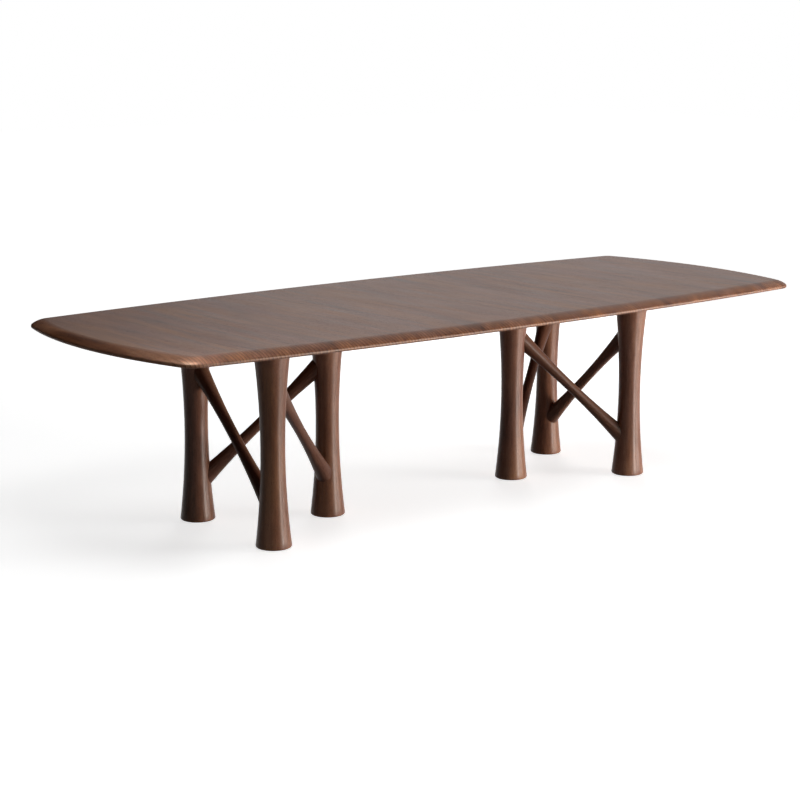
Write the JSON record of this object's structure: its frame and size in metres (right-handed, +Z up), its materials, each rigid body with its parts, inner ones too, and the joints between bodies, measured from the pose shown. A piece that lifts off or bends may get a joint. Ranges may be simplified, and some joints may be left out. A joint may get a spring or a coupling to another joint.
{
  "type": "dining table",
  "caption": "Long boat-shaped walnut dining table on two bases, each of three waisted round legs tied by crossing round braces.",
  "frame": {"origin": "on the floor under the middle of the top", "axes": "+X along the table's length, +Y across its width, +Z up from the floor through the top"},
  "size_m": [3.09, 1.214, 0.775],
  "materials": {
    "walnut_top": "satin oiled walnut, grain across the table",
    "walnut_legs": "satin oiled walnut, grain along the leg",
    "walnut_braces": "satin oiled walnut, grain along the brace",
    "plywood": "raw birch plywood",
    "black_steel": "black powder coat, fine texture",
    "zinc_steel": "bright zinc plate",
    "insert_brass": "plain brass",
    "nylon": "dark moulded nylon"
  },
  "bodies": {
    "root": {"top_board_01": "walnut_top", "top_board_02": "walnut_top", "top_board_03": "walnut_top", "top_board_04": "walnut_top", "top_board_05": "walnut_top", "top_board_06": "walnut_top", "top_board_07": "walnut_top", "top_board_08": "walnut_top", "top_board_09": "walnut_top", "top_board_10": "walnut_top", "top_board_11": "walnut_top", "top_board_12": "walnut_top", "top_board_13": "walnut_top", "top_board_14": "walnut_top", "top_board_15": "walnut_top", "top_board_16": "walnut_top", "top_board_17": "walnut_top", "top_board_18": "walnut_top", "top_board_19": "walnut_top", "top_board_20": "walnut_top", "left_back_leg": "walnut_legs", "left_back_brace": "walnut_braces", "left_back_plate": "black_steel", "left_back_glide": "nylon", "left_front_leg": "walnut_legs", "left_front_brace": "walnut_braces", "left_front_plate": "black_steel", "left_front_glide": "nylon", "left_inner_leg": "walnut_legs", "left_inner_brace": "walnut_braces", "left_inner_plate": "black_steel", "left_inner_glide": "nylon", "right_back_leg": "walnut_legs", "right_back_brace": "walnut_braces", "right_back_plate": "black_steel", "right_back_glide": "nylon", "right_front_leg": "walnut_legs", "right_front_brace": "walnut_braces", "right_front_plate": "black_steel", "right_front_glide": "nylon", "right_inner_leg": "walnut_legs", "right_inner_brace": "walnut_braces", "right_inner_plate": "black_steel", "right_inner_glide": "nylon", "front_channel": "black_steel", "back_channel": "black_steel", "board_tongues": "plywood", "leg_bolts": "zinc_steel", "leg_inserts": "insert_brass", "plate_screws": "zinc_steel", "channel_screws": "zinc_steel"}
  },
  "joints": []
}
